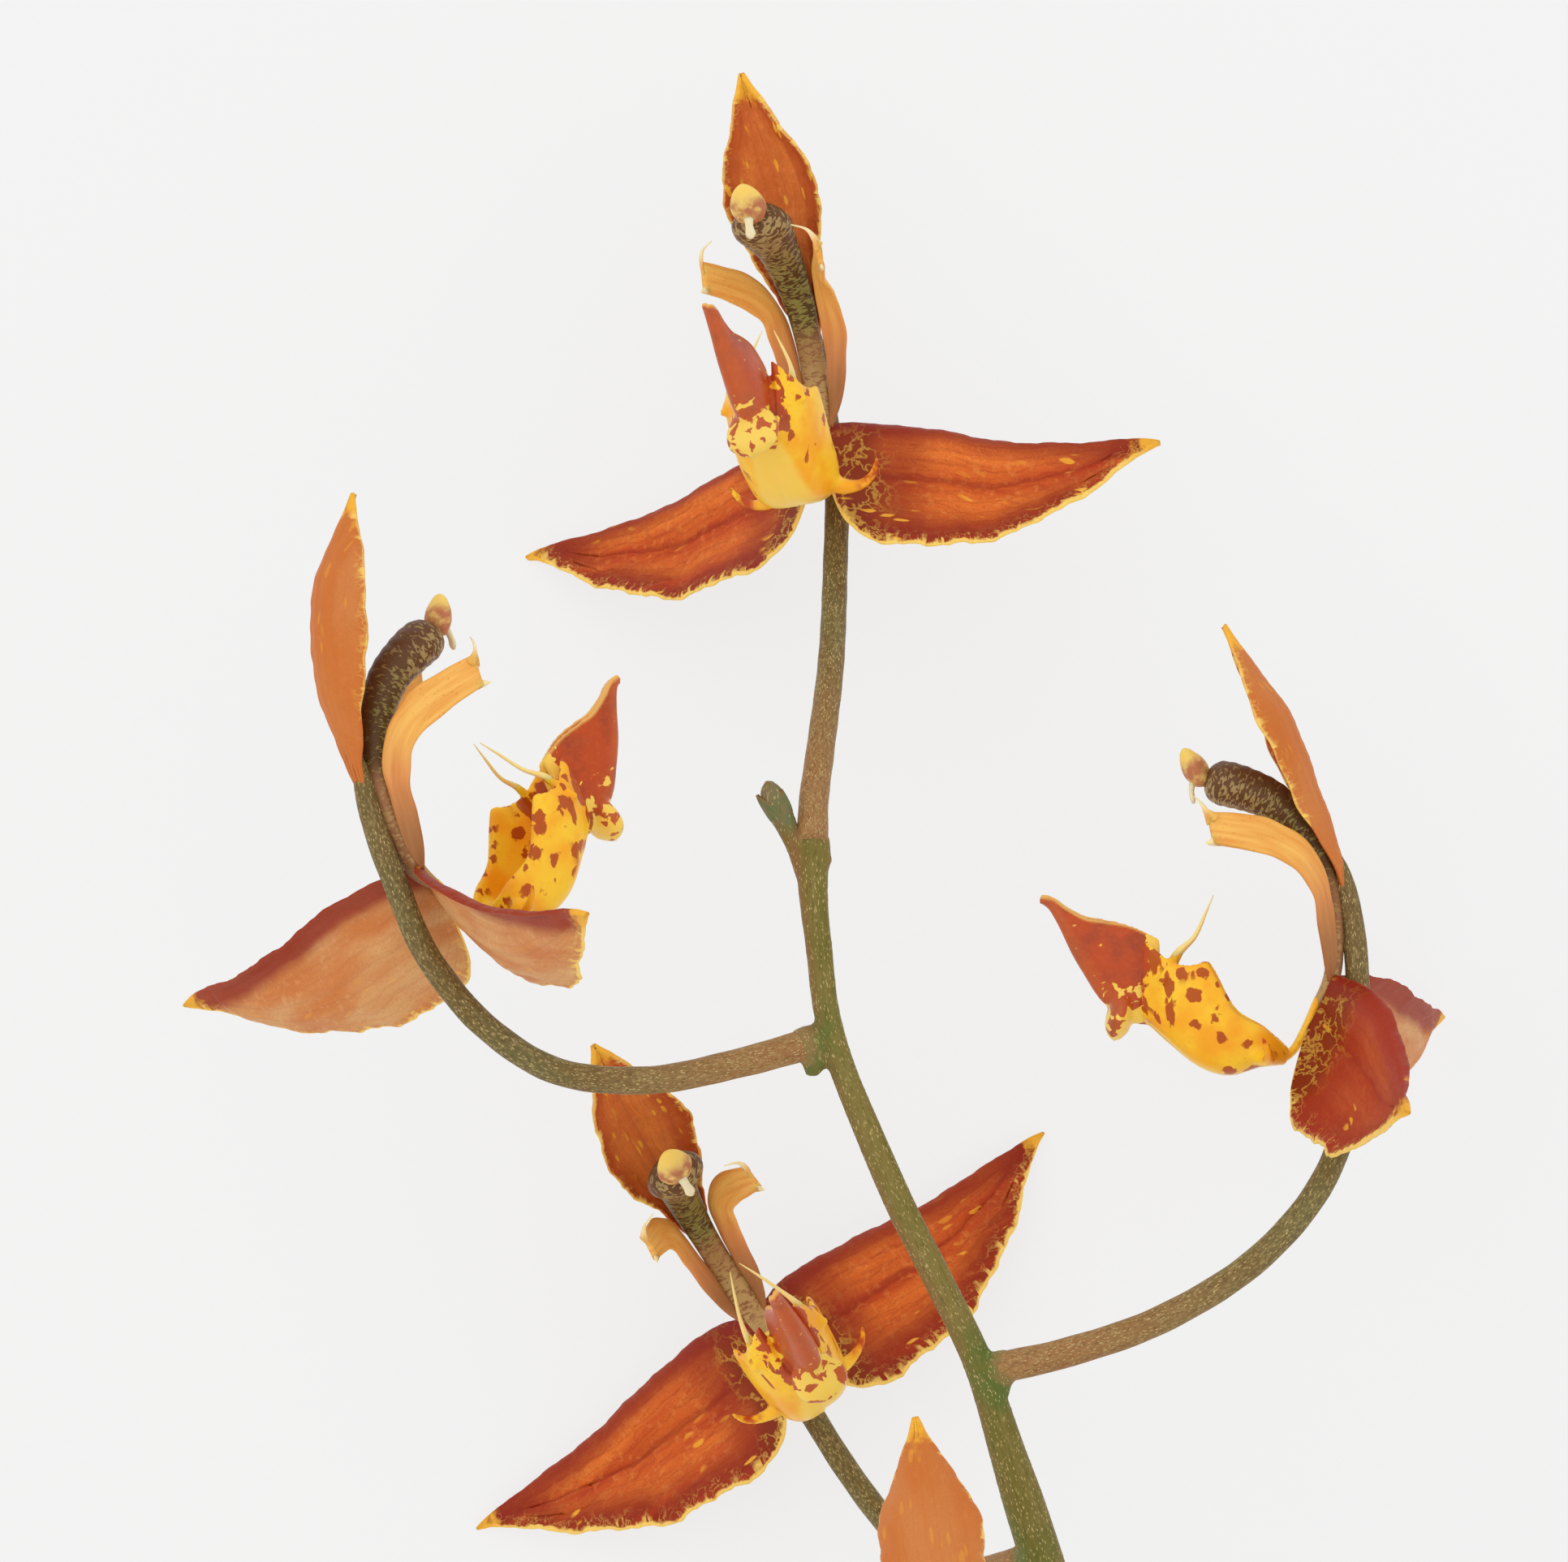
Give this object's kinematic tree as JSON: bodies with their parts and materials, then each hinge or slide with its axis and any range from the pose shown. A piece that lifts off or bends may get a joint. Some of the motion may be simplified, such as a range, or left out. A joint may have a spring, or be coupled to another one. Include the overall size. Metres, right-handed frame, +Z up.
{
  "type": "gongora orchid stem",
  "caption": "Cut gongora orchid stem lying on its side: orange flowers with spread sepals, yellow spotted lips and barred columns on curved stalks.",
  "frame": {"origin": "middle of the bounding box footprint, on the surface that the stem lies on", "axes": "+X across the stem to the right-hand flower, +Y along the stem towards its end bud and top flower, +Z up from the surface"},
  "size_m": [0.093, 0.1974, 0.0693],
  "materials": {
    "stem": null,
    "pedicel": "olive-brown flower stalk, satin, finely dotted; plant tissue",
    "sepal": "orange-brown sepal with red veins and a yellow net at its lower edge; plant tissue, soft satin",
    "petal": "orange-yellow petal, pinkish at its base; plant tissue, soft satin",
    "column": "olive column with dense purple-brown crossbars; plant tissue, satin",
    "anther_cap": "pale yellow anther cap with a pink-brown middle; plant tissue, satin",
    "lip": "yellow waxy lip with red-brown spots and a red-brown folded blade; plant tissue, slightly glossy"
  },
  "bodies": {
    "root": {"stem": "stem", "top_dorsal_sepal": "sepal", "top_left_sepal": "sepal", "top_right_sepal": "sepal", "top_left_petal": "petal", "top_right_petal": "petal", "top_column": "column", "top_anther_cap": "anther_cap", "top_lip": "lip", "top_pedicel": "pedicel", "left_dorsal_sepal": "sepal", "left_left_sepal": "sepal", "left_right_sepal": "sepal", "left_left_petal": "petal", "left_right_petal": "petal", "left_column": "column", "left_anther_cap": "anther_cap", "left_lip": "lip", "left_pedicel": "pedicel", "right_dorsal_sepal": "sepal", "right_left_sepal": "sepal", "right_right_sepal": "sepal", "right_left_petal": "petal", "right_right_petal": "petal", "right_column": "column", "right_anther_cap": "anther_cap", "right_lip": "lip", "right_pedicel": "pedicel", "lower_dorsal_sepal": "sepal", "lower_left_sepal": "sepal", "lower_right_sepal": "sepal", "lower_left_petal": "petal", "lower_right_petal": "petal", "lower_column": "column", "lower_anther_cap": "anther_cap", "lower_lip": "lip", "lower_pedicel": "pedicel", "front_dorsal_sepal": "sepal", "front_left_sepal": "sepal", "front_right_sepal": "sepal", "front_left_petal": "petal", "front_right_petal": "petal", "front_column": "column", "front_anther_cap": "anther_cap", "front_lip": "lip", "front_pedicel": "pedicel"}
  },
  "joints": []
}
